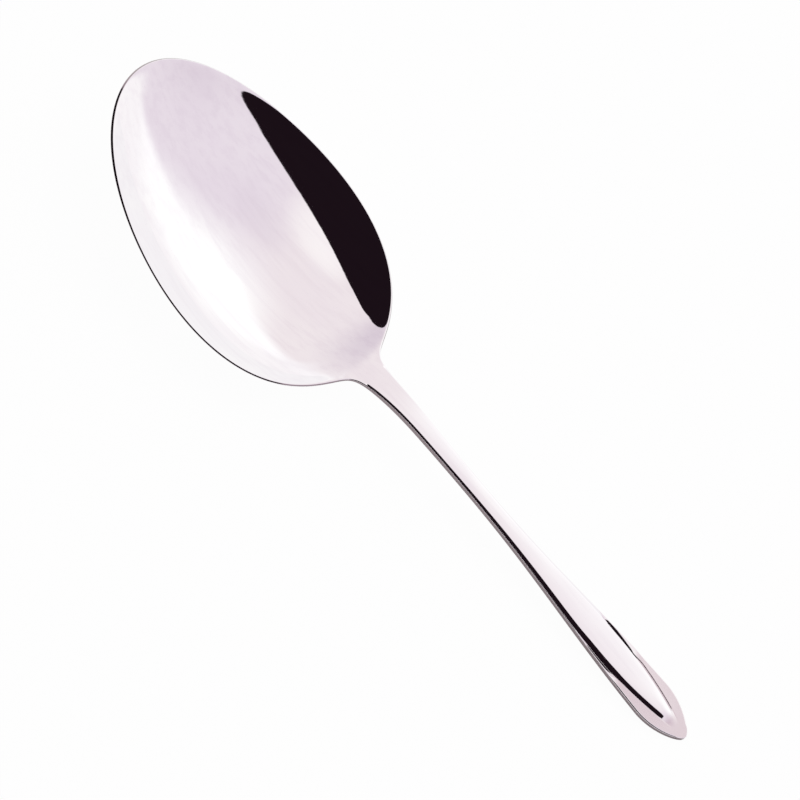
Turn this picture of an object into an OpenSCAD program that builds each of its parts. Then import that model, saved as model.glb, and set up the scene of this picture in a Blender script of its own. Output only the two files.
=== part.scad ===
// Serving spoon pressed from one blank of polished stainless steel, lying on a table with its hollow up.
// The bowl is an oval dish whose rim sweeps up towards the tip. A narrow neck climbs out of it into a slim
// handle. The handle carries a raised spine with bevelled sides, which swells into a leaf near the rounded end.
// Bowl, neck and handle are lengths of the same blank: each meets the next on one shared cross-section.

/* [Bowl] */
// Length from the tip of the bowl to the neck
bowl_length = 102; // [94:1:110]
// Width across the rim
bowl_width = 72; // [60:1:82]
// Distance from the tip to the widest place
bowl_widest = 59; // [56:0.5:62]
// Fullness of the rim's oval, 0 for a plain egg
rim_fullness = 0.14; // [0:0.02:0.3]
// Depth of the hollow below the rim
bowl_depth = 13.5; // [9:0.5:17]
// Fullness of the hollow, 0 for a plain dish, more for a flatter floor and steeper sides
hollow_fullness = 0.2; // [0:0.05:0.4]
// Thickness of the steel in the bowl
bowl_wall = 1; // [0.8:0.1:1.6]
// Height that the rim gains towards the tip
tip_rise = 9.9; // [5:0.1:14]
// Length, from the tip, over which the rim comes down again
tip_sweep = 127; // [110:1:150]

/* [Neck] */
// Length of the neck, from the bowl to the handle
neck_length = 22; // [16:1:28]
// Width of the blank where the neck leaves the bowl
neck_width = 6; // [5:0.1:9]
// Reach of the hollow curve that joins the rim to the neck
neck_fillet = 12.3; // [9:0.1:15]
// Height that the neck climbs above the lowest place of the rim
neck_rise = 4.3; // [2:0.1:8]
// Distance that the climb begins before the neck
climb_lead = 16; // [10:1:24]
// Length of the climb
climb_length = 42; // [34:1:50]

/* [Handle] */
// Length of the neck and handle together
handle_length = 138; // [120:1:160]
// Width of the handle at its waist
waist_width = 5.2; // [4:0.1:7]
// Distance from the bowl to the waist
waist_distance = 38; // [30:1:48]
// Width that the flare grows to, which the rounded end stops a little short
flare_width = 14.3; // [9:0.1:18]
// Length of the flare, from the waist on
flare_length = 103; // [80:1:120]
// Length of the rounded end
end_length = 14.7; // [8:0.1:22]
// How pointed the rounded end is, 0 for a half round
end_point = 0.6; // [0:0.05:0.8]
// Thickness of the handle along its edge
handle_edge = 1.7; // [1:0.05:2.5]

/* [Spine] */
// Height of the spine above the handle's edge, at the leaf
spine_height = 0.75; // [0.2:0.05:1.2]
// Height of the spine above the handle's edge, where it leaves the neck
slim_height = 0.4; // [0.1:0.05:0.8]
// Extra height of the spine along its middle
spine_crown = 0.1; // [0:0.05:0.4]
// Width of the spine at its widest, between the shoulders of the bevels
spine_width = 8.1; // [5:0.1:11]
// Length over which the spine rises out of the neck
spine_lead = 16; // [10:1:22]
// Length of the leaf, from the spine's widest place to its point
leaf_length = 29.5; // [20:0.5:40]
// Distance from the spine's point to the end of the handle
leaf_setback = 3.5; // [2:0.5:8]
// Length over which the spine sinks away at its point
leaf_fade = 7.5; // [4:0.5:14]
// Width of the bevel along the slim part of the handle
slim_bevel = 0.45; // [0.25:0.05:0.6]
// Width of the bevel along the leaf
leaf_bevel = 1.3; // [0.6:0.05:2]

/* [Hidden] */

overall_length = bowl_length + handle_length;
neck_end = bowl_length + neck_length;
end_start = overall_length - end_length;
leaf_end = overall_length - leaf_setback;
leaf_start = leaf_end - leaf_length;

// Rings of points along each length of the blank, and columns of points across half its width
bowl_rings = 36;
neck_rings = 8;
handle_rings = 34;
end_rings = 10;
crown_columns = 5;
bevel_columns = 3;
wing_columns = 3;

// Angles at which the curves of the tip and of the rounded end stop, just short of a point
tip_angle = 2;
end_angle = 86;

// Shares of the bowl's half width at which its columns change their spacing
bowl_shoulder = 0.62;
bowl_foot = 0.8;

// Share of the depth with which the hollow runs out into the neck
hollow_runout = 0.15;

steel = [0.86, 0.84, 0.86];

function mix(a, b, t) = a + (b - a) * t;
function limit(t) = min(max(t, 0), 1);
function ease(t) = let (u = limit(t)) u * u * u * (u * (6 * u - 15) + 10);
function soft_max(a, b, k) = (a + b + sqrt((a - b) * (a - b) + k * k)) / 2;
function soft_min(a, b, k) = (a + b - sqrt((a - b) * (a - b) + k * k)) / 2;

// The rim's oval: the square of the bowl's width as a share of its widest, 0 at both ends
widest_place = 2 * bowl_widest / bowl_length - 1;
oval_lean = (2 * widest_place - rim_fullness * (2 * widest_place - 4 * pow(widest_place, 3)))
    / (1 - 3 * pow(widest_place, 2));
function egg(t) = (1 - t * t) * (1 + oval_lean * t + rim_fullness * t * t);
function oval(x) = egg(2 * x / bowl_length - 1) / egg(widest_place);

// From 0 at the bowl's widest place to 1 where the neck begins
function neckward(x) = ease((x - bowl_widest) / (bowl_length - bowl_widest));

// Half the handle's width: it narrows to the waist, flares and is rounded off at the end
function end_round(x) = let (u = limit((x - end_start) / end_length)) sqrt((1 - u * u) * (1 - end_point * u * u));
function handle_half(x) = end_round(x) * (neck_width / 2
    + (waist_width - neck_width) / 2 * ease((x - bowl_length) / waist_distance)
    + (flare_width - waist_width) / 2 * ease((x - bowl_length - waist_distance) / flare_length));

// Half the width of the blank, from the tip of the bowl to the end of the handle
function half_width(x) = let (
        bowl = pow(bowl_width / 2, 2) * oval(x),
        joined = soft_max(bowl, pow(handle_half(x), 2), pow(neck_fillet, 2))
    ) sqrt(max(mix(bowl, joined, neckward(x)), 0));

// Height of the rim and of the handle's edge
function rim(x) = tip_rise * pow(max(1 - x / tip_sweep, 0), 3)
    + neck_rise * ease((x - bowl_length + climb_lead) / climb_length);

// Depth of the hollow, and its slope across the width
function hollow_share(x) = mix(oval(x), soft_max(oval(x), 0, hollow_runout), neckward(x));
function hollow(x, v) = let (e = hollow_share(x) * (1 - v * v))
    bowl_depth * e * (1 + hollow_fullness * (1 - e));
function hollow_slope(x, v) = let (share = hollow_share(x), e = share * (1 - v * v))
    bowl_depth * (1 + hollow_fullness * (1 - 2 * e)) * share * 2 * v / half_width(x);

// From 0 where the handle begins to 1 at the spine's widest place
function leafward(x) = ease((x - neck_end) / (leaf_start - neck_end));

// The spine: half its width at the shoulders and at the foot of its bevels, and its height
function leaf(x) = spine_width / 2 * (1 - pow(limit((x - leaf_start) / leaf_length), 2));
function shoulder(x) = let (room = half_width(x) - mix(slim_bevel, leaf_bevel, leafward(x)))
    max(soft_min(room, leaf(x), slim_bevel), slim_bevel / 10);
function foot(x) = shoulder(x) + soft_min(half_width(x) - shoulder(x), leaf_bevel, slim_bevel / 2);
function spine_swell(x) = ease((x - bowl_length) / spine_lead) * ease((leaf_end - x) / leaf_fade);
function bevel(x, y) = let (u = limit((y - shoulder(x)) / (foot(x) - shoulder(x)))) (1 - u) * (1 - u) * (1 + 2 * u);
function spine(x, y) = spine_swell(x) * (mix(slim_height, spine_height, leafward(x)) * bevel(x, y)
    + spine_crown * max(1 - pow(y / shoulder(x), 2), 0));

// Thickness of the blank
function blank(x) = mix(bowl_wall, handle_edge, ease((x - bowl_length + climb_lead) / climb_length));

// Places of the columns across half the width, from the middle out
function columns(x) = let (
        w = half_width(x),
        t = ease((x - bowl_length) / neck_fillet + 0.5),
        s = mix(bowl_shoulder * w, shoulder(x), t),
        f = mix(bowl_foot * w, foot(x), t)
    ) concat(
        [for (k = [0 : crown_columns]) s * (2 * k + 1) / (2 * crown_columns + 1)],
        [for (k = [1 : bevel_columns]) mix(s, f, k / bevel_columns)],
        [for (k = [1 : wing_columns]) mix(f, w, k / wing_columns)]
    );

// Points of the upper and of the lower face in one cross-section, as [y, z]
function upper(x, y) = [y, rim(x) - hollow(x, y / half_width(x)) + spine(x, abs(y))];
function lower(x, y) = let (v = y / half_width(x), a = atan(hollow_slope(x, v)))
    [y + blank(x) * sin(a), rim(x) - hollow(x, v) - blank(x) * cos(a)];

// One closed ring round the blank: across the upper face and back across the lower one
function ring(x) = let (c = columns(x), n = len(c))
    let (across = concat([for (k = [n - 1 : -1 : 0]) -c[k]], c))
    concat([for (y = across) upper(x, y)], [for (k = [2 * n - 1 : -1 : 0]) lower(x, across[k])]);

// Places of the rings along the length
bowl_stations = [for (i = [0 : bowl_rings])
    bowl_length / 2 * (1 - cos(mix(tip_angle, 180, i / bowl_rings)))];
neck_stations = [for (i = [0 : neck_rings]) mix(bowl_length, neck_end, i / neck_rings)];
handle_stations = concat(
    [for (i = [0 : handle_rings]) mix(neck_end, end_start, i / handle_rings)],
    [for (i = [1 : end_rings]) end_start + end_length * sin(end_angle * i / end_rings)]);

// How the spoon lies: tilted until the end of the handle and the bottom of the bowl are on the table together
last_station = handle_stations[len(handle_stations) - 1];
rest_slope = max([for (x = bowl_stations) (lower(last_station, 0)[1] - lower(x, 0)[1]) / (last_station - x)]);
rest_tilt = atan(rest_slope);
function tilted(p) = [p[0] * cos(rest_tilt) + p[2] * sin(rest_tilt), p[1], p[2] * cos(rest_tilt) - p[0] * sin(rest_tilt)];
outer_points = [for (x = [bowl_stations[0], last_station]) for (q = ring(x)) tilted([x, q[0], q[1]])];
middle = (min([for (p = outer_points) p[0]]) + max([for (p = outer_points) p[0]])) / 2;
lowest = min([for (x = concat(bowl_stations, handle_stations)) for (q = ring(x)) tilted([x, q[0], q[1]])[2]]);
function laid(p) = tilted(p) - [middle, 0, lowest];

// A closed solid through rings at the given stations, with a flat face at each end
module length_of_blank(stations) {
    rings = [for (x = stations) [for (q = ring(x)) laid([x, q[0], q[1]])]];
    n = len(rings[0]);
    half = n / 2;
    last = (len(stations) - 1) * n;
    function column(a) = a < half ? a : n - 1 - a;
    sides = [for (i = [0 : len(stations) - 2]) for (a = [0 : n - 1])
        let (b = (a + 1) % n, p = i * n, q = p + n)
        each column(a) + column(b) < half - 1
            ? [[p + a, p + b, q + b], [p + a, q + b, q + a]]
            : [[p + a, p + b, q + a], [p + b, q + b, q + a]]];
    ends = [for (a = [0 : half - 2]) let (d = n - 1 - a)
        each [[a, d, d - 1], [a, d - 1, a + 1],
            [last + a, last + a + 1, last + d - 1], [last + a, last + d - 1, last + d]]];
    polyhedron(points = [for (r = rings) each r], faces = concat(sides, ends), convexity = 6);
}

// The oval dish
module bowl() {
    color(steel) length_of_blank(bowl_stations);
}

// The narrow climb between the dish and the handle
module neck() {
    color(steel) length_of_blank(neck_stations);
}

// The flaring bar with its raised spine
module handle() {
    color(steel) length_of_blank(handle_stations);
}

bowl();
neck();
handle();
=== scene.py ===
import math

import bpy
import numpy as np
from bpy.props import FloatProperty, FloatVectorProperty, PointerProperty
from mathutils import Matrix, Vector


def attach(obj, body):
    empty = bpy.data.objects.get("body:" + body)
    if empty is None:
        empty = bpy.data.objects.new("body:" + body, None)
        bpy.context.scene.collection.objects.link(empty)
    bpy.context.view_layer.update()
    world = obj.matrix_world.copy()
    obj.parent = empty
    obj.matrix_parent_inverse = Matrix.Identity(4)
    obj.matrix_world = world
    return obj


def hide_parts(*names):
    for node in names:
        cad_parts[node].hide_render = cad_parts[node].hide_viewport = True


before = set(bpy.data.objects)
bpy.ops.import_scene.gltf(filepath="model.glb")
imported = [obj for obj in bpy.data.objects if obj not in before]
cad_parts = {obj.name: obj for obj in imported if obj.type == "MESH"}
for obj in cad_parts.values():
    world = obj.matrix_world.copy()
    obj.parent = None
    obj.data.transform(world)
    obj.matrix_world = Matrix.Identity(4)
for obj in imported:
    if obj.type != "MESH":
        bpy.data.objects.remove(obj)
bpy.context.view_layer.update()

bl_info = {
    "name": "Serving Spoon",
    "version": (1, 0, 0),
    "blender": (4, 5, 0),
    "location": "View3D > Sidebar > Spoon",
    "description": "Lays a one-piece spoon of polished steel on a table in a plain studio",
    "category": "Add Mesh",
}

# Rings of points along each length of the blank, and columns of points across half its width
BOWL_RINGS = 150
NECK_RINGS = 40
BAR_RINGS = 130
END_RINGS = 50
CROWN_COLUMNS = 22
BEVEL_COLUMNS = 14
WING_COLUMNS = 20
ROUNDING_STEPS = 6

# Points of a ring: across one face, round one edge, before the lower face, and in all
FACE_POINTS = 2 * (CROWN_COLUMNS + BEVEL_COLUMNS + WING_COLUMNS) + 1
EDGE_POINTS = 2 * ROUNDING_STEPS
UNDER_START = FACE_POINTS + EDGE_POINTS
RING_POINTS = 2 * UNDER_START

# Turn that spaces the bowl's rings, closest at the tip and about as far apart as the neck's own at the neck
BOWL_TURN = math.radians(135.0)

# Shares of the bowl's half width at which its columns change their spacing
BOWL_SHOULDER = 0.62
BOWL_FOOT = 0.8

# Largest shares of the half width for the foot column, and of the foot for the shoulder column
FOOT_LIMIT = 0.97
SHOULDER_LIMIT = 0.93

# How closely the columns crowd towards the rim of the bowl, and towards the spine on the wings
RIM_CROWDING = 2.0
WING_CROWDING = 2.0

# Softness with which the hollow runs out into the neck, as a share of its depth
HOLLOW_RUNOUT = 0.15

# Share of the depth over which the inner edge of the rim is rolled off
ROLL_REACH = 0.035

# Lean with which the bevels run into the rounded edge of the handle
EDGE_LEAN = math.radians(35.0)

# Shares of a bevel's width that are rounded at its shoulder, and at its foot beside the edge or a flute
SHOULDER_TURN = 0.16
EDGE_LAND = 0.03
FLUTE_LAND = 0.04

# Shares of the slim bevel: the least half width of the spine, and the softness of the foot's outline
LEAST_SHOULDER = 0.1
FOOT_SOFTNESS = 0.125

# Columns over which the satin of a wing, with its painted reflection, begins beside the spine
SATIN_AND_REFLECTION_COLUMNS = 4

# Step over which the slope of the pressed face is measured, and the least width and area to divide by
SLOPE_STEP = 0.00002
LEAST_WIDTH = 1e-9
LEAST_AREA = 1e-18

# Noise of the steel: scale along and across the spoon per metre, detail and roughness
DRIFT_NOISE = ((22.0, 60.0, 60.0), 3.0, 0.5)
HAZE_NOISE = ((70.0, 240.0, 240.0), 4.0, 0.6)
LINE_NOISE = ((45.0, 1500.0, 1500.0), 3.0, 0.55)
SWEEP_NOISE = ((26.0, 520.0, 520.0), 3.0, 0.6)

# Where that noise sets in and is full, how strongly the sweeps show, and how far haze changes the roughness
DRIFT_RANGE = (0.35, 0.65)
HAZE_RANGE = (0.3, 0.75)
SWEEP_RANGE = (0.40, 0.70)
SWEEP_STRENGTH = 0.8
HAZE_CLEAR = 0.75
HAZE_DULL = 1.5

# Depth of the polishing lines
LINE_DEPTH = 1.2e-6

# The table: half its side, its noise, its second tone, and how white the camera sees it
TABLE_REACH = 6.0
TABLE_NOISE = ((30.0, 30.0, 30.0), 3.0, 0.5)
TABLE_FLECK = 0.985
TABLE_WHITENESS = 0.97

# Strip in which the table, as the steel mirrors it, goes from dim on the camera's side to white
TABLE_STRIP = (0.0, 0.02)
TABLE_DIMNESS = 0.15

# Turn of the window and of the sill from straight across the spoon, and half the window's span
WINDOW_TURN = math.radians(13.0)
SILL_TURN = math.radians(9.0)
WINDOW_SPAN = math.radians(38.0)

# Directions of the seam in the cloth, of the brightest cloth overhead and across the opening's upper edge
SEAM_TOWARDS = (0.30, 0.17, 0.94)
OVERHEAD_TOWARDS = (-0.08, -0.30, 0.95)
OPENING_TOWARDS = (0.255, 1.0, -0.444)

# Where each part of the tent sets in and where it is full, measured on directions of length 1
PALE_LENGTHWISE = (0.45, -0.05)
SHADE_ASIDE = (0.75, 0.10)
SHADE_HEIGHT = (0.75, 0.30)
SEAM_RANGE = (0.972, 0.998)
SEAM_STRENGTH = 0.2
OVERHEAD_RANGE = (0.91, 1.0)
SILL_RANGE = (1.18, 0.86)
FAR_SIDE = (0.50, 0.80)
BACKDROP_HEIGHT = (0.32, 0.20)
WINDOW_TOP = (0.98, 0.63)
WINDOW_FOOT = (0.0, 0.28)
CURTAIN_HEIGHT = (0.08, 0.0)
CURTAIN_LENGTHWISE = (-0.80, -0.55)
OPENING_EDGE = (-0.733, -0.723)

# Slant of the sill's two halves, and the least share of a direction that counts as ahead of it
SILL_SLANT = 0.9
LEAST_AHEAD = 0.05

# Bend of the opening's upper edge, and its two corners: where each sets in and is full, and its drop
OPENING_BEND = -0.574
HANDLE_CORNER = (0.62, 0.76, 0.0, -0.02)
BOWL_CORNER = (-0.78, -0.91, 0.0, -0.055)

# The soft lamp: its two sides, its power in watts and its place
SOFTBOX_SIDES = (1.6, 1.2)
SOFTBOX_POWER = 6.0
SOFTBOX_PLACE = (0.15, 0.7, 1.5)

# The camera: width of its sensor in millimetres, and how far it sees in metres
SENSOR_WIDTH = 36.0
SIGHT = 100.0


def length(name, description, default):
    return FloatProperty(name=name, description=description, default=default, unit="LENGTH", precision=5)


def share(name, description, default):
    return FloatProperty(name=name, description=description, default=default,
                         subtype="FACTOR", min=0.0, max=1.0)


def angle(name, description, degrees):
    return FloatProperty(name=name, description=description, default=math.radians(degrees),
                         unit="ROTATION", subtype="ANGLE")


def colour(name, description, default):
    return FloatVectorProperty(name=name, description=description, default=default,
                               subtype="COLOR", size=3, min=0.0, soft_max=1.0)


class BowlSizes(bpy.types.PropertyGroup):
    """Sizes of the oval dish"""
    length: length("Length", "From the tip of the bowl to the neck", 0.102)
    width: length("Width", "Across the rim", 0.072)
    widest: length("Widest place", "From the tip to the widest place of the rim", 0.059)
    rim_fullness: share("Rim fullness", "Fullness of the rim's oval, 0 for a plain egg", 0.14)
    depth: length("Depth", "Of the hollow below the rim", 0.0135)
    hollow_fullness: share("Hollow fullness", "More gives a flatter floor and steeper sides", 0.2)
    wall: length("Wall", "Thickness of the steel", 0.00076)
    tip_wall: length("Tip wall", "Thickness of the steel at the tip", 0.00105)
    tip_reach: length("Tip reach", "Length over which the steel thins out from the tip", 0.05)
    tip_rise: length("Tip rise", "Height that the rim gains towards the tip", 0.0099)
    tip_sweep: length("Tip sweep", "Length over which the rim comes down again", 0.127)
    rim_rounding: length("Rim rounding", "Radius of the polished rim", 0.00013)
    rim_roll: length("Rim roll", "Height by which the inner edge of the rim is rolled off", 0.00019)


class NeckSizes(bpy.types.PropertyGroup):
    """Sizes of the narrow climb between the bowl and the handle"""
    length: length("Length", "From the bowl to the handle", 0.022)
    width: length("Width", "Of the blank where the neck leaves the bowl", 0.006)
    fillet: length("Fillet", "Reach of the hollow curve that joins the rim to the neck", 0.0123)
    rise: length("Rise", "Height that the neck climbs above the lowest place of the rim", 0.0043)
    climb_lead: length("Climb lead", "Distance that the climb begins before the neck", 0.016)
    climb_length: length("Climb length", "Length of the climb", 0.042)
    rounding: length("Rounding", "Radius of the polished edge", 0.0009)


class HandleSizes(bpy.types.PropertyGroup):
    """Sizes of the flaring bar"""
    length: length("Length", "Of the neck and handle together", 0.138)
    waist_width: length("Waist width", "Of the handle at its narrowest", 0.0052)
    waist_distance: length("Waist distance", "From the bowl to the waist", 0.038)
    flare_width: length("Flare width", "That the flare grows to", 0.0143)
    flare_length: length("Flare length", "From the waist on", 0.103)
    end_length: length("End length", "Of the rounded end", 0.0147)
    end_point: share("End point", "How pointed the rounded end is, 0 for a half round", 0.6)
    edge: length("Edge", "Thickness of the steel along the edge", 0.0016)
    slim_rounding: length("Slim rounding", "Radius of the polished edge along the slim part", 0.0002)
    leaf_rounding: length("Leaf rounding", "Radius of the polished edge along the leaf", 0.0003)
    end_rounding: length("End rounding", "Radius of the polished edge beside the flutes", 0.0002)
    wing_rounding: length("Wing rounding", "Radius of the polished edge beside the wings", 0.00045)


class SpineSizes(bpy.types.PropertyGroup):
    """Sizes of the raised spine with bevelled sides"""
    height: length("Height", "Above the handle's edge at the leaf", 0.00075)
    slim_height: length("Slim height", "Above the handle's edge where it leaves the neck", 0.00038)
    crown: length("Crown", "Extra height along the middle", 0.00012)
    width: length("Width", "At its widest, between the shoulders of the bevels", 0.0081)
    lead: length("Lead", "Length over which the spine rises out of the neck", 0.01)
    leaf_length: length("Leaf length", "From the spine's widest place to its point", 0.0295)
    leaf_setback: length("Leaf setback", "From the spine's point to the end of the handle", 0.0035)
    leaf_fade: length("Leaf fade", "Length over which the spine sinks away at its point", 0.0075)
    slim_bevel: length("Slim bevel", "Width of the bevel along the slim part", 0.00047)
    leaf_bevel: length("Leaf bevel", "Width of the bevel along the leaf", 0.00125)
    flank_width: length("Flank width", "Width of the steep sides of the leaf, beside the flutes", 0.001)
    wing_flank: length("Wing flank", "Width of the steep sides of the leaf, beside the wings", 0.0012)
    wing_rise: length("Wing rise", "Height above the handle's edge that the wings slope down from", 0.00012)
    groove_depth: length("Groove depth", "Of the narrow groove between a steep side and its wing", 0.00017)
    groove_width: length("Groove width", "Over which that groove comes up to the wing", 0.00026)
    wing_start: length("Wing start", "Width beside the spine at which the flutes turn into wings", 0.0024)
    wing_spread: length("Wing spread", "By which the width grows while they turn", 0.0008)
    # Where the satin, with its painted reflection, closes over the leaf's point
    satin_and_reflection_end: length(
        "Satin end", "From where the satin closes over the leaf's point to the handle's end", 0.0088)
    satin_and_reflection_lead: length("Satin lead", "Length over which the satin closes", 0.0034)
    flute_depth: length("Flute depth", "Of the flutes beside the leaf, below the handle's edge", 0.0011)
    flute_width: length("Flute width", "Over which a flute gains its depth", 0.0014)
    flute_reach: length("Flute reach", "Over which a flute comes up again beside the leaf", 0.003)
    flute_length: length("Flute length", "From where the flutes begin to the end of the handle", 0.046)
    flute_lead: length("Flute lead", "Length over which the flutes open", 0.01)


class SteelFinish(bpy.types.PropertyGroup):
    """Look of the polished steel"""
    tone: colour("Steel", "Colour of the polished faces", (0.93, 0.905, 0.92))
    cool_tone: colour("Cool steel", "Second tone that the polished faces drift to", (0.905, 0.87, 0.90))
    line_tone: colour("Polishing lines", "Colour of the fine lines left by polishing", (0.875, 0.835, 0.87))
    # Edge tone: partly the ground edge's own colour, partly painted shade, darkened to stand for the table
    # in the spoon's shadow that the edge mirrors
    edge_tone_and_painted_shade: colour("Edge", "Colour of the narrow ground edge", (0.39, 0.335, 0.345))
    # Wing tone: partly the satin's own colour, partly painted reflection, a mauve grey that stands for the
    # grey cloth the near wing mirrors
    wing_tone_and_painted_reflection: colour("Wings", "Colour of the satin wings beside the leaf", (0.73, 0.64, 0.675))
    under_tone: colour("Underside", "Colour of the plainer underside", (0.72, 0.685, 0.705))
    gloss: share("Roughness", "Of the polished faces", 0.022)
    edge_gloss: share("Edge roughness", "Added on the narrow ground edge", 0.10)
    wing_gloss: share("Wing roughness", "Added on the wings", 0.16)
    under_gloss: share("Underside roughness", "Added on the underside", 0.08)


class StudioLook(bpy.types.PropertyGroup):
    """Camera, table and light tent"""
    view_elevation: angle("View elevation", "Of the camera above the spoon's own plane", 55.0)
    view_roll: angle("View roll", "Of the spoon's length in the picture", 49.87)
    aim: length("Aim", "From the tip of the bowl to the middle of the picture", 0.11701)
    aim_height: length("Aim height", "Of the middle of the picture above the rim's lowest place", 0.00371)
    picture_width: length("Picture width", "Width that the picture takes in", 0.22261)
    lens: FloatProperty(
        name="Lens", description="Focal length of the camera in millimetres", default=700.0, unit="CAMERA")
    table: colour("Table", "Colour of the table top", (0.93, 0.92, 0.93))
    cloth: colour("Cloth", "Colour of the light tent's cloth at the handle's end", (0.864, 0.80, 0.862))
    cloth_pale: colour("Pale cloth", "Colour of the cloth at the bowl's end", (0.934, 0.877, 0.889))
    cloth_shade: colour(
        "Cloth in shade", "Colour of the cloth low down, away from the window", (0.74, 0.665, 0.735))
    cloth_top: colour("Cloth overhead", "Colour of the cloth overhead", (1.02, 0.99, 0.985))
    window: colour("Window", "Colour of the bright panel at the far side", (1.13, 1.15, 1.13))
    sill: colour("Sill", "Colour of the bright strip under the panel", (1.12, 1.13, 1.12))
    backdrop: colour(
        "Backdrop", "Colour of the tent just above the table at the far side", (1.03, 1.02, 1.02))
    opening: colour("Opening", "Colour of the tent's dark opening", (0.0113, 0.006, 0.0092))
    curtain: colour("Curtain", "Colour of the tent under its opening", (0.45, 0.385, 0.405))


class SpoonSettings(bpy.types.PropertyGroup):
    """All that a user would change"""
    bowl: PointerProperty(type=BowlSizes)
    neck: PointerProperty(type=NeckSizes)
    handle: PointerProperty(type=HandleSizes)
    spine: PointerProperty(type=SpineSizes)
    steel: PointerProperty(type=SteelFinish)
    studio: PointerProperty(type=StudioLook)


def mix(a, b, t):
    return a + (b - a) * t


def limit(t):
    return np.clip(t, 0.0, 1.0)


def ease(t):
    u = limit(t)
    return u * u * u * (u * (6 * u - 15) + 10)


def soft_max(a, b, k):
    return (a + b + np.sqrt((a - b) ** 2 + k * k)) / 2


def soft_min(a, b, k):
    return (a + b - np.sqrt((a - b) ** 2 + k * k)) / 2


def flank_fall(u, land):
    """From 0 at the shoulder of a bevel to 1 at its foot: straight between two short rounded ends"""
    turn = SHOULDER_TURN
    run = 1 - (turn + land) / 2
    fall = np.where(u < turn, u * u / (2 * turn), u - turn / 2)
    return np.where(u > 1 - land, run - (1 - u) ** 2 / (2 * land), fall) / run


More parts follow.
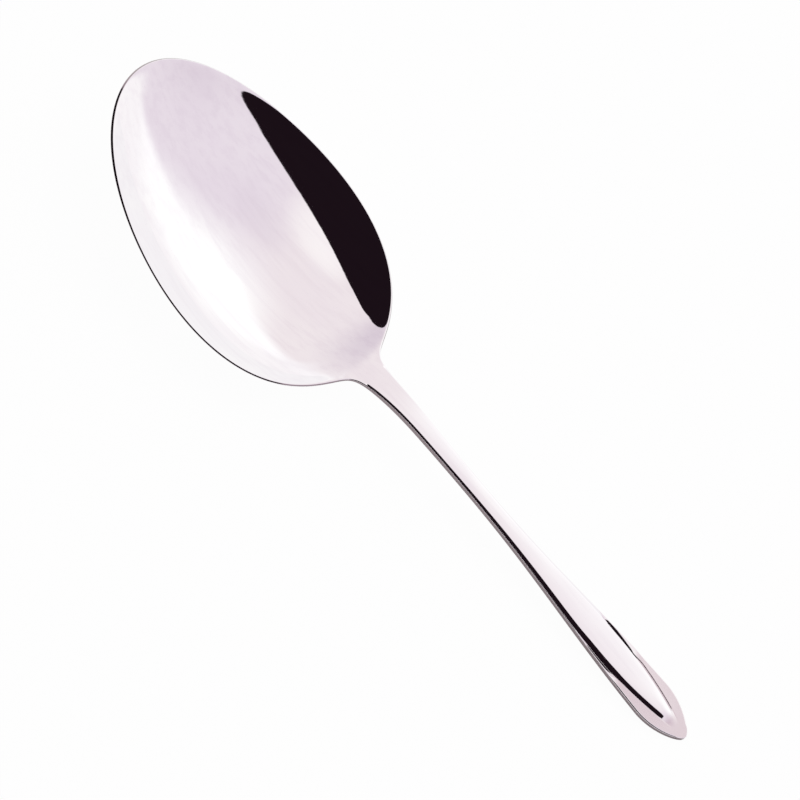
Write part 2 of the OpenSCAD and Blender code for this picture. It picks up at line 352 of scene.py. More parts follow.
class Blank:
    """The pressed sheet of steel, with x from the bowl's tip to the handle's end, y across and z up"""

    def __init__(self, settings):
        bowl, neck, handle, spine = settings.bowl, settings.neck, settings.handle, settings.spine
        self.bowl, self.neck, self.handle, self.spine = bowl, neck, handle, spine
        self.overall = bowl.length + handle.length
        self.neck_end = bowl.length + neck.length
        self.end_start = self.overall - handle.end_length
        self.leaf_end = self.overall - spine.leaf_setback
        self.leaf_start = self.leaf_end - spine.leaf_length
        place = 2 * bowl.widest / bowl.length - 1
        self.lean = (2 * place - bowl.rim_fullness * (2 * place - 4 * place ** 3)) / (1 - 3 * place ** 2)
        self.widest_egg = self.egg(place)
        self.stations = self.ring_stations()
        self.tilt = self.rest_tilt()

    def egg(self, t):
        """Curve behind the bowl's oval, for t from -1 at the tip to 1 at the neck"""
        return (1 - t * t) * (1 + self.lean * t + self.bowl.rim_fullness * t * t)

    def oval(self, x):
        """Square of the bowl's width as a share of its widest, 0 at both ends"""
        return self.egg(2 * x / self.bowl.length - 1) / self.widest_egg

    def neckward(self, x):
        """From 0 at the widest place of the bowl to 1 at the neck"""
        return ease((x - self.bowl.widest) / (self.bowl.length - self.bowl.widest))

    def end_round(self, x):
        """Share of its width that the handle keeps in its rounded end"""
        u = limit((x - self.end_start) / self.handle.end_length)
        return np.sqrt((1 - u * u) * (1 - self.handle.end_point * u * u))

    def handle_half(self, x):
        """Half the width of the neck and handle"""
        bar, start = self.handle, self.bowl.length
        narrowed = ease((x - start) / bar.waist_distance)
        flared = ease((x - start - bar.waist_distance) / bar.flare_length)
        return self.end_round(x) * (
            self.neck.width / 2
            + (bar.waist_width - self.neck.width) / 2 * narrowed
            + (bar.flare_width - bar.waist_width) / 2 * flared)

    def half_width_squared(self, x):
        """Square of half the blank's width, with the fillets between the bowl and the neck"""
        bowl = (self.bowl.width / 2) ** 2 * self.oval(x)
        bar = self.handle_half(x) ** 2
        fillet = soft_max(bowl, bar, self.neck.fillet ** 2) - bar
        return np.maximum(mix(bowl, bar + fillet * self.end_round(x) ** 2, self.neckward(x)), 0.0)

    def half_width(self, x):
        return np.sqrt(self.half_width_squared(x))

    def climb(self, x):
        """From 0 in the bowl to 1 on the handle"""
        return ease((x - self.bowl.length + self.neck.climb_lead) / self.neck.climb_length)

    def rim(self, x):
        """Height of the rim and of the handle's edge"""
        return (self.bowl.tip_rise * np.maximum(1 - x / self.bowl.tip_sweep, 0.0) ** 3
                + self.neck.rise * self.climb(x))

    def thickness(self, x):
        """Thickness of the steel without the spine"""
        wall = mix(self.bowl.tip_wall, self.bowl.wall, ease(x / self.bowl.tip_reach))
        return mix(wall, self.handle.edge, self.climb(x))

    def rounding(self, x):
        """Radius of the polished edge"""
        bar = self.handle
        edge = mix(bar.slim_rounding, bar.leaf_rounding, self.leafward(x))
        edge = mix(edge, mix(bar.end_rounding, bar.wing_rounding, self.widened(x)), self.opened(x))
        edge = mix(self.neck.rounding, edge, ease((x - self.bowl.length) / self.spine.lead))
        return mix(self.bowl.rim_rounding, edge, self.climb(x))

    def edge_lean(self, x):
        """Lean of the upper face where it runs into the rounded edge of the handle"""
        return EDGE_LEAN * ease((x - self.bowl.length) / self.spine.lead) * (1 - self.opened(x))

    def edge_inset(self, x):
        """How far inside the outline the upper face runs into the rounded edge"""
        return self.rounding(x) * (1 - np.sin(self.edge_lean(x)))

    def hollow_share(self, x):
        """Share of the hollow's depth along the middle of the blank"""
        deep = mix(self.oval(x), soft_max(self.oval(x), 0.0, HOLLOW_RUNOUT), self.neckward(x))
        return deep * (1 - ease((x - self.neck_end) / self.handle.waist_distance))

    def hollow_at(self, x, y):
        """Share of the hollow's depth at any place of the blank, 0 along the outline"""
        v = y / np.maximum(self.half_width(x), LEAST_WIDTH)
        return self.hollow_share(x) * (1 - v * v)

    def face(self, x, y):
        """Height of the pressed face without the spine"""
        e = self.hollow_at(x, y)
        return self.rim(x) - self.bowl.depth * e * (1 + self.bowl.hollow_fullness * (1 - e))

    def rolled(self, x, y):
        """How far the inner edge of the rim is rolled off below the pressed face"""
        e = np.maximum(self.hollow_at(x, y), 0.0)
        return self.bowl.rim_roll * (1 - self.climb(x)) * np.exp(-e / ROLL_REACH)

    def leaf(self, x):
        """Half the spine's widest width, which narrows to nothing at the leaf's point"""
        return self.spine.width / 2 * (1 - limit((x - self.leaf_start) / self.spine.leaf_length) ** 2)

    def leafward(self, x):
        """From 0 at the end of the neck to 1 at the widest place of the leaf"""
        return ease((x - self.neck_end) / (self.leaf_start - self.neck_end))

    def shoulder(self, x):
        """Half the width of the spine between the shoulders of its bevels"""
        slim = self.spine.slim_bevel
        bevel = mix(slim, self.spine.leaf_bevel, self.leafward(x))
        return np.maximum(soft_min(self.half_width(x) - bevel, self.leaf(x), slim), slim * LEAST_SHOULDER)

    def opened(self, x):
        """From 0 where the bevels reach to the edge of the handle to 1 where flutes lie beside them"""
        return ease((x - self.overall + self.spine.flute_length) / self.spine.flute_lead)

    def widened(self, x):
        """From 0 where flutes lie beside the spine to 1 where wings slope down beside it"""
        width = self.half_width(x) - self.shoulder(x)
        return ease((width - self.spine.wing_start) / self.spine.wing_spread)

    def foot(self, x):
        """Half the width of the spine between the feet of its bevels"""
        spine, shoulder = self.spine, self.shoulder(x)
        room = self.half_width(x) - self.edge_inset(x) - shoulder
        flank = mix(spine.flank_width, spine.wing_flank, self.widened(x))
        bevel = mix(np.maximum(room, spine.leaf_bevel), flank, self.opened(x))
        return shoulder + soft_min(room, bevel, spine.slim_bevel * FOOT_SOFTNESS)

    def spine_height(self, x, y):
        """Height of the spine and of the flutes beside it above the pressed face"""
        spine, shoulder, foot, y = self.spine, self.shoulder(x), self.foot(x), np.abs(y)
        width = np.maximum(self.half_width(x) - foot, LEAST_WIDTH)
        left = np.exp(-np.clip(y - foot, 0.0, width) / spine.flute_reach)
        last = np.exp(-width / spine.flute_reach)
        depth = spine.flute_depth * (1 - np.exp(-width / spine.flute_width))
        flute = mix(depth, -spine.wing_rise, self.widened(x)) * (left - last) / (1 - last)
        groove = spine.groove_depth * self.widened(x) * (1 - limit((y - foot) / spine.groove_width))
        sunk = (flute + groove) * self.opened(x) + self.rounding(x) * (1 - np.cos(self.edge_lean(x)))
        across = limit((y - shoulder) / np.maximum(foot - shoulder, LEAST_WIDTH))
        flank = flank_fall(across, mix(EDGE_LAND, FLUTE_LAND, self.opened(x)))
        swell = ease((x - self.bowl.length) / spine.lead) * ease((self.leaf_end - x) / spine.leaf_fade)
        return swell * (mix(mix(spine.slim_height, spine.height, self.leafward(x)), -sunk, flank)
                        + spine.crown * np.maximum(1 - (y / shoulder) ** 2, 0.0))

    def ring_stations(self):
        """Places of the rings along the length, from the tip of the bowl to the end of the handle"""
        turn = np.linspace(0.0, BOWL_TURN, BOWL_RINGS + 1)
        bowl = self.bowl.length * (1 - np.cos(turn)) / (1 - math.cos(BOWL_TURN))
        neck = np.linspace(self.bowl.length, self.neck_end, NECK_RINGS + 1)[1:]
        bar = np.linspace(self.neck_end, self.end_start, BAR_RINGS + 1)[1:]
        closing = np.sin(np.linspace(0.0, math.pi / 2, END_RINGS + 1))[1:]
        end = self.end_start + self.handle.end_length * closing
        return np.concatenate((bowl, neck, bar, end))

    def rest_tilt(self):
        """Angle at which the bottom of the bowl and the end of the handle are on the table together"""
        x = self.stations[1:BOWL_RINGS]
        under = self.face(x, 0.0) - self.thickness(x)
        last = self.stations[-2]
        end = self.face(last, 0.0) - self.thickness(last)
        return math.atan(np.max((end - under) / (last - x)))

    def turned(self, points):
        """Points or directions, tilted as the spoon lies"""
        c, s = math.cos(self.tilt), math.sin(self.tilt)
        points = np.asarray(points, float)
        x, y, z = points[..., 0], points[..., 1], points[..., 2]
        return np.stack((x * c + z * s, y, z * c - x * s), axis=-1)

    def columns(self, x, w):
        """Places of the columns across half the width, from the middle out"""
        # From 0 half a fillet before the neck to 1 half a fillet past its start
        t = ease((x - self.bowl.length) / self.neck.fillet + 0.5)
        foot = np.minimum(mix(BOWL_FOOT * w, self.foot(x), t), FOOT_LIMIT * w)
        shoulder = np.minimum(mix(BOWL_SHOULDER * w, self.shoulder(x), t), SHOULDER_LIMIT * foot)
        crown = shoulder[:, None] * np.linspace(0.0, 1.0, CROWN_COLUMNS + 1)
        bevel = mix(shoulder[:, None], foot[:, None], np.linspace(0.0, 1.0, BEVEL_COLUMNS + 1)[1:])
        outward = np.linspace(0.0, 1.0, WING_COLUMNS + 1)[1:]
        outward = 1 - (1 - outward) ** mix(RIM_CROWDING, 1.0, t)[:, None]
        outward = outward ** mix(1.0, WING_CROWDING, self.opened(x))[:, None]
        wing = mix(foot[:, None], w[:, None], outward)
        return np.concatenate((crown, bevel, wing), axis=1)

    def rings(self):
        """Closed rings of points round the blank as it lies, as an array of ring, point and coordinate"""
        x = self.stations
        w = self.half_width(x)
        squared = self.half_width_squared(x)
        r, t = self.rounding(x), self.thickness(x)

        # Outward direction of the outline, as seen from above
        along, aside = np.gradient(x), np.gradient(w)
        along[[0, -1]], aside[[0, -1]] = 0.0, (1.0, -1.0)
        reach = np.hypot(along, aside)
        nx, ny = -aside / reach, along / reach

        # Slope of the face where it meets the outline, going outwards
        steep = np.full(len(x), (2 / self.bowl.width) ** 2)
        steep[1:-1] = self.hollow_share(x[1:-1]) / squared[1:-1]
        steep[-1] = 0.0
        fall = np.sqrt(4 * squared + np.gradient(squared, x) ** 2)
        slope = (np.gradient(self.rim(x), x) * nx
                 + self.bowl.depth * (1 + self.bowl.hollow_fullness) * steep * fall)
        tall = np.sqrt(1 + slope ** 2)
        roll = self.rolled(x, w)
        t = t - roll / tall

        # Rows of the upper and lower face, drawn in from the outline by the rounded edge
        def row(inset):
            row_x, row_w = x - inset * nx, np.maximum(w - inset * ny, 0.0)
            half = self.columns(row_x, row_w)
            row_y = np.concatenate((-half[:, :0:-1], half), axis=1)
            row_x = np.repeat(row_x[:, None], row_y.shape[1], axis=1)
            return row_x, row_y, self.face(row_x, row_y)

        row_x, row_y, face = row(self.edge_inset(x))
        raised = self.spine_height(row_x, row_y) - self.rolled(row_x, row_y)
        upper = np.stack((row_x, row_y, face + raised), axis=-1)

        # The lower edge is rounded no more than the edge beside the flutes
        r_under = np.minimum(r, self.handle.end_rounding)
        row_x, row_y, face = row(r_under)
        step = SLOPE_STEP
        face_dx = (self.face(row_x + step, row_y) - self.face(row_x - step, row_y)) / (2 * step)
        face_dy = (self.face(row_x, row_y + step) - self.face(row_x, row_y - step)) / (2 * step)
        face_dx[[0, -1]], face_dy[[0, -1]] = face_dx[[1, -2]], 0.0
        down = np.stack((face_dx, face_dy, -np.ones_like(face_dx)), axis=-1)
        down /= np.linalg.norm(down, axis=-1, keepdims=True)
        lower = np.stack((row_x, row_y, face), axis=-1) + self.thickness(row_x)[..., None] * down

        # Rounded edge on each side, from the upper face to the lower one
        edges = {}
        lean = self.edge_lean(x)
        for side in (1, -1):
            corner = np.stack((x, side * w, self.rim(x) - roll), axis=-1)
            out = np.stack((nx, side * ny, slope), axis=-1) / tall[:, None]
            rise = np.stack((-slope * nx, -side * slope * ny, np.ones_like(x)), axis=-1) / tall[:, None]

            def rounded(a):
                return corner + (r * (np.sin(a) - 1))[:, None] * out + (r * (np.cos(a) - 1))[:, None] * rise

            brim = upper[:, -1] if side > 0 else upper[:, 0]
            spare = brim - rounded(lean)
            points = []
            for k in range(1, ROUNDING_STEPS + 1):
                a = mix(lean, math.pi / 2, k / ROUNDING_STEPS)
                left = (1 - np.sin(a)) / (1 - np.sin(lean))
                points.append(rounded(a) + left[:, None] * spare)
            for k in range(ROUNDING_STEPS):
                a = math.pi / 2 * k / ROUNDING_STEPS
                turn = (math.cos(a) - 1) * out + (1 - math.sin(a)) * rise
                points.append(corner + r_under[:, None] * turn - t[:, None] * rise)
            edges[side] = np.stack(points, axis=1)
        ring = np.concatenate((upper, edges[1], lower[:, ::-1], edges[-1][:, ::-1]), axis=1)
        ring = self.turned(ring)
        low, high = ring.reshape(-1, 3).min(axis=0), ring.reshape(-1, 3).max(axis=0)
        self.shift = -np.array(((low[0] + high[0]) / 2, 0.0, low[2]))
        return ring + self.shift

    def finishes(self):
        """Shares of the ground edge with its painted shade, the satin wings with their painted reflection,
        and the underside at every point of the rings
        """
        x = self.stations
        ground_and_shade, satin_and_reflection, underside = (np.zeros((len(x), RING_POINTS)) for _ in range(3))
        # The flats of both rounded edges, whose darker tone is partly painted shade
        for flat in (FACE_POINTS + ROUNDING_STEPS, RING_POINTS - ROUNDING_STEPS):
            ground_and_shade[:, flat - 1:flat + 1] = 1.0
        outward = np.abs(np.arange(FACE_POINTS) - FACE_POINTS // 2) - CROWN_COLUMNS - BEVEL_COLUMNS
        # The wings and the leaf's point, whose darker tone is partly painted reflection
        closed = ease((x - self.overall + self.spine.satin_and_reflection_end) / self.spine.satin_and_reflection_lead)[:, None]
        wings = (self.opened(x) * self.widened(x))[:, None] * ease(outward / SATIN_AND_REFLECTION_COLUMNS)
        satin_and_reflection[:, :FACE_POINTS] = np.maximum(wings, closed)
        underside[:, UNDER_START:UNDER_START + FACE_POINTS] = 1.0
        return {"ground_edge_and_painted_shade": ground_and_shade, "satin_wing_and_painted_reflection": satin_and_reflection, "underside": underside}

    def laid(self, point):
        """A point of the blank where it is when the spoon lies on the table"""
        return self.turned(point) + self.shift


def ring_normals(rings):
    """Directions of the smooth skin at every point of the rings"""
    along = np.gradient(rings, axis=0)
    around = np.roll(rings, -1, axis=1) - np.roll(rings, 1, axis=1)
    normals = np.cross(along, around)
    size = np.linalg.norm(normals, axis=-1, keepdims=True)
    normals = normals / np.maximum(size, LEAST_AREA)

    # The first and the last ring are shut, so their faces take the direction beside them
    for end, beside in ((0, 1), (-1, -2)):
        for start in (0, UNDER_START):
            normals[end, start:start + FACE_POINTS] = normals[beside, start + FACE_POINTS // 2]
        normals[end, :, 1] = 0.0
    return normals / np.linalg.norm(normals, axis=-1, keepdims=True)


def length_of_blank(name, rings, normals, finishes, first, last):
    """One closed piece of the blank between two rings, with a flat face where it meets its neighbour"""
    shut_rings = (0, len(rings) - 1)
    row, under, around = FACE_POINTS, UNDER_START, RING_POINTS

    # At the tip and at the end of the handle a ring closes up on itself
    closed = list(range(around))
    for j in range(row):
        closed[j], closed[under + j] = 0, under
    for j in range(EDGE_POINTS):
        closed[under + row + j] = under - 1 - j

    # Points of the piece, each with its direction and its shares of the finishes
    points, directions, number = [], [], {}
    shares = {finish: [] for finish in finishes}
    for i in range(first, last + 1):
        for j in range(around):
            key = (i, closed[j] if i in shut_rings else j)
            if key not in number:
                number[key] = len(points)
                points.append(rings[key])
                directions.append(normals[key])
                for finish, values in finishes.items():
                    shares[finish].append(float(values[key]))
            number[(i, j)] = number[key]

    # Faces between neighbouring rings, then the two flat ends
    faces, loops = [], []
    for i in range(first, last):
        for j in range(around):
            k = (j + 1) % around
            corners = []
            for key in ((i, j), (i + 1, j), (i + 1, k), (i, k)):
                if number[key] not in corners:
                    corners.append(number[key])
            if len(corners) > 2:
                faces.append(corners)
                loops.extend(directions[c] for c in corners)
    for i, outward in ((first, -1), (last, 1)):
        if i in shut_rings:
            continue
        cap = [[j, j + 1, under + row - 2 - j, under + row - 1 - j] for j in range(row - 1)]
        cap.append(list(range(row - 1, under + 1)))
        cap.append(list(range(under + row - 1, around)) + [0])
        flat = np.cross(rings[i, row - 1] - rings[i, 0], rings[i, row // 2] - rings[i, under + row // 2])
        flat *= outward * np.sign(flat[0]) / np.linalg.norm(flat)
        for corners in cap:
            corners = [number[(i, j)] for j in corners]
            faces.append(corners if outward < 0 else corners[::-1])
            loops.extend([flat] * len(corners))

    mesh = bpy.data.meshes.new(name)
    mesh.from_pydata([tuple(p) for p in points], [], faces)
    mesh.polygons.foreach_set("use_smooth", [True] * len(mesh.polygons))
    for finish, values in shares.items():
        mesh.attributes.new(finish, "FLOAT", "POINT").data.foreach_set("value", values)
    if mesh.validate():
        raise RuntimeError(name + " has faces that Blender can't keep")
    mesh.normals_split_custom_set([tuple(n) for n in loops])
    mesh.update()
    return mesh


class Nodes:
    """Short ways to add and join the nodes of one material or world"""

    # Sockets of the Mix node that take two colours and give the mixed one
    COLOUR_INPUTS = (6, 7)
    COLOUR_OUTPUT = 2

    def __init__(self, tree):
        tree.nodes.clear()
        self.tree = tree

    def add(self, kind, **values):
        node = self.tree.nodes.new(kind)
        for key, value in values.items():
            setattr(node, key, value)
        return node

    def join(self, source, target):
        self.tree.links.new(source, target)

    def math(self, operation, a, b=0.0):
        node = self.add("ShaderNodeMath", operation=operation)
        for socket, value in zip(node.inputs, (a, b)):
            if isinstance(value, (int, float)):
                socket.default_value = value
            else:
                self.join(value, socket)
        return node.outputs["Value"]

    def spread(self, value, low, high, to_low=0.0, to_high=1.0):
        node = self.add("ShaderNodeMapRange", interpolation_type="SMOOTHSTEP")
        self.join(value, node.inputs["Value"])
        ends = {"From Min": low, "From Max": high, "To Min": to_low, "To Max": to_high}
        for socket, number in ends.items():
            node.inputs[socket].default_value = number
        return node.outputs["Result"]

    def blend(self, factor, a, b):
        node = self.add("ShaderNodeMix", data_type="RGBA")
        node.clamp_factor = True
        self.join(factor, node.inputs["Factor"])
        for k, value in zip(self.COLOUR_INPUTS, (a, b)):
            if hasattr(value, "is_linked"):
                self.join(value, node.inputs[k])
            else:
                node.inputs[k].default_value = (*value, 1.0)
        return node.outputs[self.COLOUR_OUTPUT]

    def finish_share(self, name):
        return self.add("ShaderNodeAttribute", attribute_name=name).outputs["Fac"]

    def stretched_noise(self, scale, detail, roughness):
        place = self.add("ShaderNodeTexCoord")
        stretch = self.add("ShaderNodeMapping")
        stretch.inputs["Scale"].default_value = scale
        noise = self.add("ShaderNodeTexNoise")
        noise.inputs["Scale"].default_value = 1.0
        noise.inputs["Detail"].default_value = detail
        noise.inputs["Roughness"].default_value = roughness
        self.join(place.outputs["Object"], stretch.inputs["Vector"])
        self.join(stretch.outputs["Vector"], noise.inputs["Vector"])
        return noise.outputs["Fac"]


def polished_steel(finish):
    """Mirror-polished steel with fine lines along its length, duller at the edge, wings and underside, with
    painted shade in the darker edge tone and painted reflection in the darker wing tone
    """
    name = "mirror_polished_steel"
    material = bpy.data.materials.get(name)
    if material:
        return material
    material = bpy.data.materials.new(name)
    material.use_nodes = True
    nodes = Nodes(material.node_tree)
    shader = nodes.add("ShaderNodeBsdfPrincipled")
    shader.inputs["Metallic"].default_value = 1.0
    output = nodes.add("ShaderNodeOutputMaterial")
    nodes.join(shader.outputs["BSDF"], output.inputs["Surface"])

    # Shares of the edge with its painted shade, and of the wings with their painted reflection
    edge = nodes.finish_share("ground_edge_and_painted_shade")
    wing = nodes.finish_share("satin_wing_and_painted_reflection")
    underside = nodes.finish_share("underside")
    drift = nodes.stretched_noise(*DRIFT_NOISE)
    haze = nodes.stretched_noise(*HAZE_NOISE)
    lines = nodes.stretched_noise(*LINE_NOISE)
    sweeps = nodes.stretched_noise(*SWEEP_NOISE)

    # Colour and roughness of the polished faces, then of the duller places, where the darker edge tone is
    # partly painted shade and the darker wing tone partly painted reflection
    faces = nodes.blend(nodes.spread(drift, *DRIFT_RANGE), finish.tone, finish.cool_tone)
    faces = nodes.blend(nodes.spread(sweeps, *SWEEP_RANGE, 0.0, SWEEP_STRENGTH), faces, finish.line_tone)
    rough = nodes.spread(haze, *HAZE_RANGE, finish.gloss * HAZE_CLEAR, finish.gloss * HAZE_DULL)
    for place, tone, gloss in ((underside, finish.under_tone, finish.under_gloss),
                               (wing, finish.wing_tone_and_painted_reflection, finish.wing_gloss),
                               (edge, finish.edge_tone_and_painted_shade, finish.edge_gloss)):
        faces = nodes.blend(place, faces, tone)
        rough = nodes.math("ADD", rough, nodes.math("MULTIPLY", place, gloss))
    nodes.join(faces, shader.inputs["Base Color"])
    nodes.join(rough, shader.inputs["Roughness"])

    bump = nodes.add("ShaderNodeBump")
    bump.inputs["Strength"].default_value = 1.0
    bump.inputs["Distance"].default_value = LINE_DEPTH
    nodes.join(lines, bump.inputs["Height"])
    nodes.join(bump.outputs["Normal"], shader.inputs["Normal"])
    return material


def lay_piece(context, node, first, last):
    """Makes one piece of the spoon and puts it in the place of its CAD node"""
    settings = context.scene.serving_spoon
    blank = Blank(settings)
    rings = blank.rings()
    mesh = length_of_blank("spoon_" + node, rings, ring_normals(rings), blank.finishes(), first, last)
    mesh.materials.append(polished_steel(settings.steel))
    piece = bpy.data.objects.new("spoon_" + node, mesh)
    context.scene.collection.objects.link(piece)
    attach(piece, "root")
    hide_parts(node)
    return piece


class SPOON_OT_bowl(bpy.types.Operator):
    """Makes the oval dish with its swept rim"""
    bl_idname = "spoon.bowl"
    bl_label = "Bowl"

    def execute(self, context):
        # The polished hollow mirrors the tent alone, without a second image of itself
        lay_piece(context, "bowl", 0, BOWL_RINGS).visible_glossy = False
        return {"FINISHED"}


class SPOON_OT_neck(bpy.types.Operator):
    """Makes the narrow climb between the bowl and the handle"""
    bl_idname = "spoon.neck"
    bl_label = "Neck"

    def execute(self, context):
        lay_piece(context, "neck", BOWL_RINGS, BOWL_RINGS + NECK_RINGS)
        return {"FINISHED"}


class SPOON_OT_handle(bpy.types.Operator):
    """Makes the flaring bar with its raised spine"""
    bl_idname = "spoon.handle"
    bl_label = "Handle"

    def execute(self, context):
        first = BOWL_RINGS + NECK_RINGS
        lay_piece(context, "handle", first, first + BAR_RINGS + END_RINGS)
        return {"FINISHED"}


def table_top(context, studio):
    """The pale table that the spoon lies on"""
    mesh = bpy.data.meshes.new("table_top")
    reach = TABLE_REACH
    corners = [(-reach, -reach, 0), (reach, -reach, 0), (reach, reach, 0), (-reach, reach, 0)]
    mesh.from_pydata(corners, [], [(0, 1, 2, 3)])
    table = bpy.data.objects.new("table_top", mesh)
    context.scene.collection.objects.link(table)

    material = bpy.data.materials.new("pale_table")
    material.use_nodes = True
    nodes = Nodes(material.node_tree)
    top = nodes.add("ShaderNodeBsdfDiffuse")
    fleck = [c * TABLE_FLECK for c in studio.table]
    tone = nodes.blend(nodes.stretched_noise(*TABLE_NOISE), studio.table, fleck)
    nodes.join(tone, top.inputs["Color"])

    # The camera and the steel see the table glow, the steel less so on the camera's side
    glow = nodes.add("ShaderNodeEmission")
    glow.inputs["Strength"].default_value = 1.0
    path = nodes.add("ShaderNodeLightPath")
    seen = nodes.math("MULTIPLY", path.outputs["Is Camera Ray"], TABLE_WHITENESS)
    mirrored = nodes.math("ADD", path.outputs["Is Glossy Ray"], path.outputs["Is Transmission Ray"])
    place = nodes.add("ShaderNodeSeparateXYZ")
    nodes.join(nodes.add("ShaderNodeTexCoord").outputs["Object"], place.inputs["Vector"])
    bowlward = nodes.math("MINIMUM", place.outputs["X"], 0.0)
    farther = nodes.math("SUBTRACT", place.outputs["Y"], bowlward)
    far_side = nodes.spread(farther, *TABLE_STRIP, TABLE_DIMNESS, 1.0)
    both = nodes.add("ShaderNodeMixShader")
    nodes.join(nodes.math("ADD", seen, nodes.math("MULTIPLY", mirrored, far_side)), both.inputs["Fac"])
    nodes.join(top.outputs["BSDF"], both.inputs[1])
    nodes.join(glow.outputs["Emission"], both.inputs[2])
    output = nodes.add("ShaderNodeOutputMaterial")
    nodes.join(both.outputs["Shader"], output.inputs["Surface"])
    mesh.materials.append(material)


def light_tent(context, studio):
    """A white tent over the table, open and dark on the camera's side, with a window at the far side"""
    world = bpy.data.worlds.new("light_tent")
    context.scene.world = world
    world.use_nodes = True
    nodes = Nodes(world.node_tree)

    def facing(vector, direction):
        node = nodes.add("ShaderNodeVectorMath", operation="DOT_PRODUCT")
        nodes.join(vector, node.inputs[0])
        node.inputs[1].default_value = direction
        return node.outputs["Value"]

    def both_of(a, b):
        return nodes.math("MULTIPLY", a, b)

    # The direction of a ray, and its turn away from the window when it is laid level
    towards = nodes.add("ShaderNodeTexCoord").outputs["Generated"]
    parts = nodes.add("ShaderNodeSeparateXYZ")
    nodes.join(towards, parts.inputs["Vector"])
    flat = nodes.add("ShaderNodeCombineXYZ")
    nodes.join(parts.outputs["X"], flat.inputs["X"])
    nodes.join(parts.outputs["Y"], flat.inputs["Y"])
    level = nodes.add("ShaderNodeVectorMath", operation="NORMALIZE")
    nodes.join(flat.outputs["Vector"], level.inputs[0])
    height, lengthwise = parts.outputs["Z"], parts.outputs["X"]
    beside = facing(level.outputs["Vector"], (math.sin(WINDOW_TURN), math.cos(WINDOW_TURN), 0.0))
    turn = nodes.math("ARCCOSINE", beside)

    # The cloth, paler at the bowl's end, darker low down at the sides and in a seam, brighter overhead
    cloth = nodes.blend(nodes.spread(lengthwise, *PALE_LENGTHWISE), studio.cloth, studio.cloth_pale)
    shade = both_of(nodes.spread(beside, *SHADE_ASIDE), nodes.spread(height, *SHADE_HEIGHT))
    cloth = nodes.blend(shade, cloth, studio.cloth_shade)
    seam = facing(towards, Vector(SEAM_TOWARDS).normalized())
    cloth = nodes.blend(nodes.spread(seam, *SEAM_RANGE, 0.0, SEAM_STRENGTH), cloth, studio.cloth_shade)
    overhead = facing(towards, Vector(OVERHEAD_TOWARDS).normalized())
    cloth = nodes.blend(nodes.spread(overhead, *OVERHEAD_RANGE), cloth, studio.cloth_top)

    # The far side: a bright sill shaped like a gable, the white backdrop low down, and the window over both
    ahead = facing(towards, (math.sin(SILL_TURN), math.cos(SILL_TURN), 0.0))
    ahead = nodes.math("MAXIMUM", ahead, LEAST_AHEAD)
    aside = nodes.math("ABSOLUTE", facing(towards, (math.cos(SILL_TURN), -math.sin(SILL_TURN), 0.0)))
    gable = nodes.math("ADD", height, nodes.math("MULTIPLY", aside, SILL_SLANT))
    sill = nodes.spread(nodes.math("DIVIDE", gable, ahead), *SILL_RANGE)
    cloth = nodes.blend(sill, cloth, studio.sill)
    backdrop = both_of(nodes.spread(height, *BACKDROP_HEIGHT), nodes.spread(beside, *FAR_SIDE))
    cloth = nodes.blend(backdrop, cloth, studio.backdrop)
    window = both_of(nodes.spread(turn, WINDOW_SPAN, 0.0), nodes.spread(height, *WINDOW_TOP))
    window = both_of(window, nodes.spread(height, *WINDOW_FOOT))
    cloth = nodes.blend(window, cloth, studio.window)

    # The dark opening on the camera's side, with a bent upper edge, two far corners and a curtain under it
    curtain = both_of(nodes.spread(height, *CURTAIN_HEIGHT), nodes.spread(lengthwise, *CURTAIN_LENGTHWISE))
    opening = nodes.blend(curtain, studio.opening, studio.curtain)
    bend = nodes.math("MULTIPLY", both_of(lengthwise, lengthwise), OPENING_BEND)
    corners = nodes.math("ADD", nodes.spread(lengthwise, *HANDLE_CORNER),
                         nodes.spread(lengthwise, *BOWL_CORNER))
    edge = nodes.math("ADD", facing(towards, OPENING_TOWARDS), nodes.math("ADD", bend, corners))
    lit = nodes.spread(edge, *OPENING_EDGE)

    # The steel mirrors the tent, and the camera itself sees plain white
    tent = nodes.add("ShaderNodeBackground")
    nodes.join(nodes.blend(lit, opening, cloth), tent.inputs["Color"])
    white = nodes.add("ShaderNodeBackground")
    white.inputs["Color"].default_value = (1.0, 1.0, 1.0, 1.0)
    path = nodes.add("ShaderNodeLightPath")
    both = nodes.add("ShaderNodeMixShader")
    nodes.join(path.outputs["Is Camera Ray"], both.inputs["Fac"])
    nodes.join(tent.outputs["Background"], both.inputs[1])
    nodes.join(white.outputs["Background"], both.inputs[2])
    output = nodes.add("ShaderNodeOutputWorld")
    nodes.join(both.outputs["Shader"], output.inputs["Surface"])


def photo_camera(context, settings):
    """The camera, looking down across the spoon with its length turned in the picture"""
    studio = settings.studio
    blank = Blank(settings)

    # Making the rings settles how far the blank is shifted to lie on the table
    blank.rings()
    rise, roll = studio.view_elevation, studio.view_roll
    back = np.array((0.0, -math.cos(rise), math.sin(rise)))
    across = np.array((0.0, math.sin(rise), math.cos(rise)))
    along = np.array((1.0, 0.0, 0.0))
    right = math.cos(roll) * along + math.sin(roll) * across
    up = -math.sin(roll) * along + math.cos(roll) * across
    aim = blank.laid((studio.aim, 0.0, studio.aim_height))
    camera = bpy.data.cameras.new("camera")
    camera.lens = studio.lens
    camera.sensor_width = SENSOR_WIDTH
    camera.sensor_fit = "HORIZONTAL"
    camera.clip_end = SIGHT
    distance = studio.picture_width * studio.lens / camera.sensor_width
    axes = [blank.turned(a) for a in (right, up, back)]
    stand = Matrix.Identity(4)
    for k, axis in enumerate((*axes, aim + distance * axes[2])):
        stand.col[k][:3] = [float(c) for c in axis]
    holder = bpy.data.objects.new("camera", camera)
    holder.matrix_world = stand
    context.scene.collection.objects.link(holder)
    context.scene.camera = holder


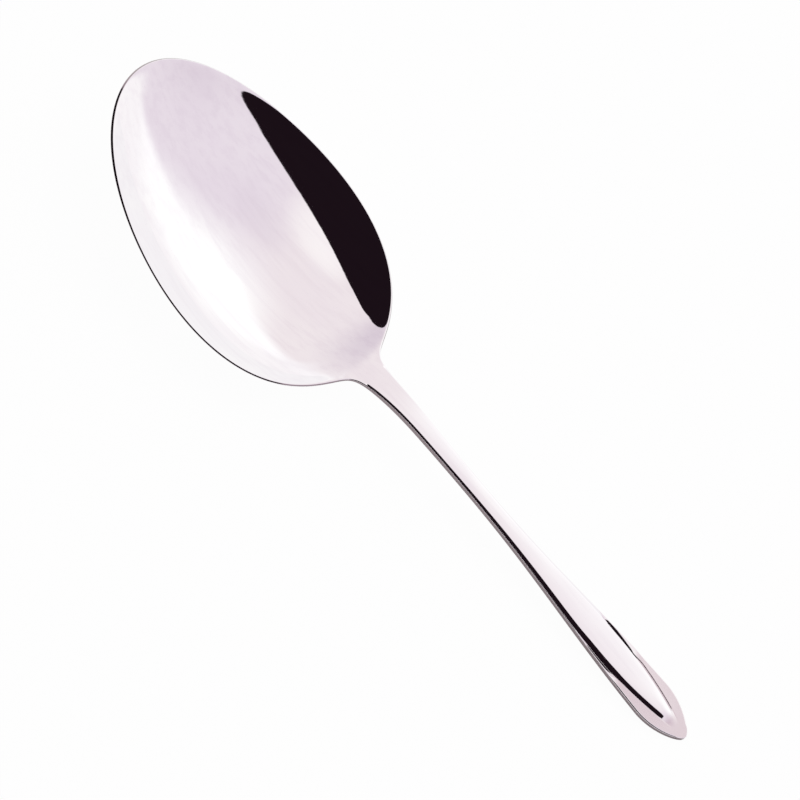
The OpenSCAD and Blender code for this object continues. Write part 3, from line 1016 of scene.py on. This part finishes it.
def softbox(context):
    """One large soft lamp over the far side of the table"""
    lamp = bpy.data.lights.new("softbox", "AREA")
    lamp.shape = "RECTANGLE"
    lamp.size, lamp.size_y = SOFTBOX_SIDES
    lamp.energy = SOFTBOX_POWER
    holder = bpy.data.objects.new("softbox", lamp)
    holder.location = SOFTBOX_PLACE
    holder.rotation_euler = (Vector((0.0, 0.0, 0.0)) - holder.location).to_track_quat("-Z", "Y").to_euler()
    holder.visible_glossy = False
    context.scene.collection.objects.link(holder)


class SPOON_OT_studio(bpy.types.Operator):
    """Sets the table, the light tent, the lamp and the camera"""
    bl_idname = "spoon.studio"
    bl_label = "Studio"

    def execute(self, context):
        settings = context.scene.serving_spoon
        context.scene.view_settings.view_transform = "Standard"
        table_top(context, settings.studio)
        light_tent(context, settings.studio)
        softbox(context)
        photo_camera(context, settings)
        return {"FINISHED"}


class SPOON_PT_sidebar(bpy.types.Panel):
    """Lists the pieces of the spoon and its sizes"""
    bl_idname = "SPOON_PT_sidebar"
    bl_label = "Serving Spoon"
    bl_space_type = "VIEW_3D"
    bl_region_type = "UI"
    bl_category = "Spoon"

    def draw(self, context):
        layout = self.layout
        for operator in (SPOON_OT_bowl, SPOON_OT_neck, SPOON_OT_handle, SPOON_OT_studio):
            layout.operator(operator.bl_idname)
        settings = context.scene.serving_spoon
        groups = (settings.bowl, settings.neck, settings.handle, settings.spine,
                  settings.steel, settings.studio)
        for group in groups:
            box = layout.box()
            for name in group.bl_rna.properties.keys():
                if name not in ("rna_type", "name"):
                    box.prop(group, name)


CLASSES = (
    BowlSizes, NeckSizes, HandleSizes, SpineSizes, SteelFinish, StudioLook, SpoonSettings,
    SPOON_OT_bowl, SPOON_OT_neck, SPOON_OT_handle, SPOON_OT_studio, SPOON_PT_sidebar,
)


def register():
    for item in CLASSES:
        bpy.utils.register_class(item)
    bpy.types.Scene.serving_spoon = PointerProperty(type=SpoonSettings)


def unregister():
    del bpy.types.Scene.serving_spoon
    for item in reversed(CLASSES):
        bpy.utils.unregister_class(item)


def main():
    register()
    bpy.ops.spoon.bowl()
    bpy.ops.spoon.neck()
    bpy.ops.spoon.handle()
    bpy.ops.spoon.studio()


if __name__ == "__main__":
    main()
